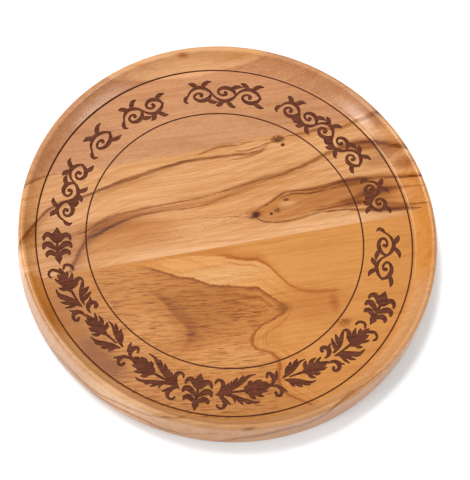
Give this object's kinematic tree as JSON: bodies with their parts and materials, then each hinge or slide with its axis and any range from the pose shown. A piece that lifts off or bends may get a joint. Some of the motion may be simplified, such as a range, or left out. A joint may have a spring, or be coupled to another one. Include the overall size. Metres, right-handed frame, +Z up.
{
  "type": "paten plate",
  "caption": "Round turned wooden bread plate: a flat field inside a raised rim, made of edge-glued boards, with engraved circles and border.",
  "frame": {"origin": "middle of the flat underside, on the turned centre", "axes": "+Z up out of the dish; -Y to the front, where the middle flower of the engraved border sits; +X to the right"},
  "size_m": [0.254, 0.254, 0.0254],
  "materials": {
    "figured_olive": "satin lacquer over pinkish brown olive wood with dark streaks and small knots",
    "honey_olive": "satin lacquer over honey coloured olive wood with brown cathedral figure",
    "dried_glue": "thin amber glue film sanded flush"
  },
  "bodies": {
    "root": {"rear_board": "figured_olive", "front_board": "honey_olive", "glue_line": "dried_glue"}
  },
  "joints": []
}
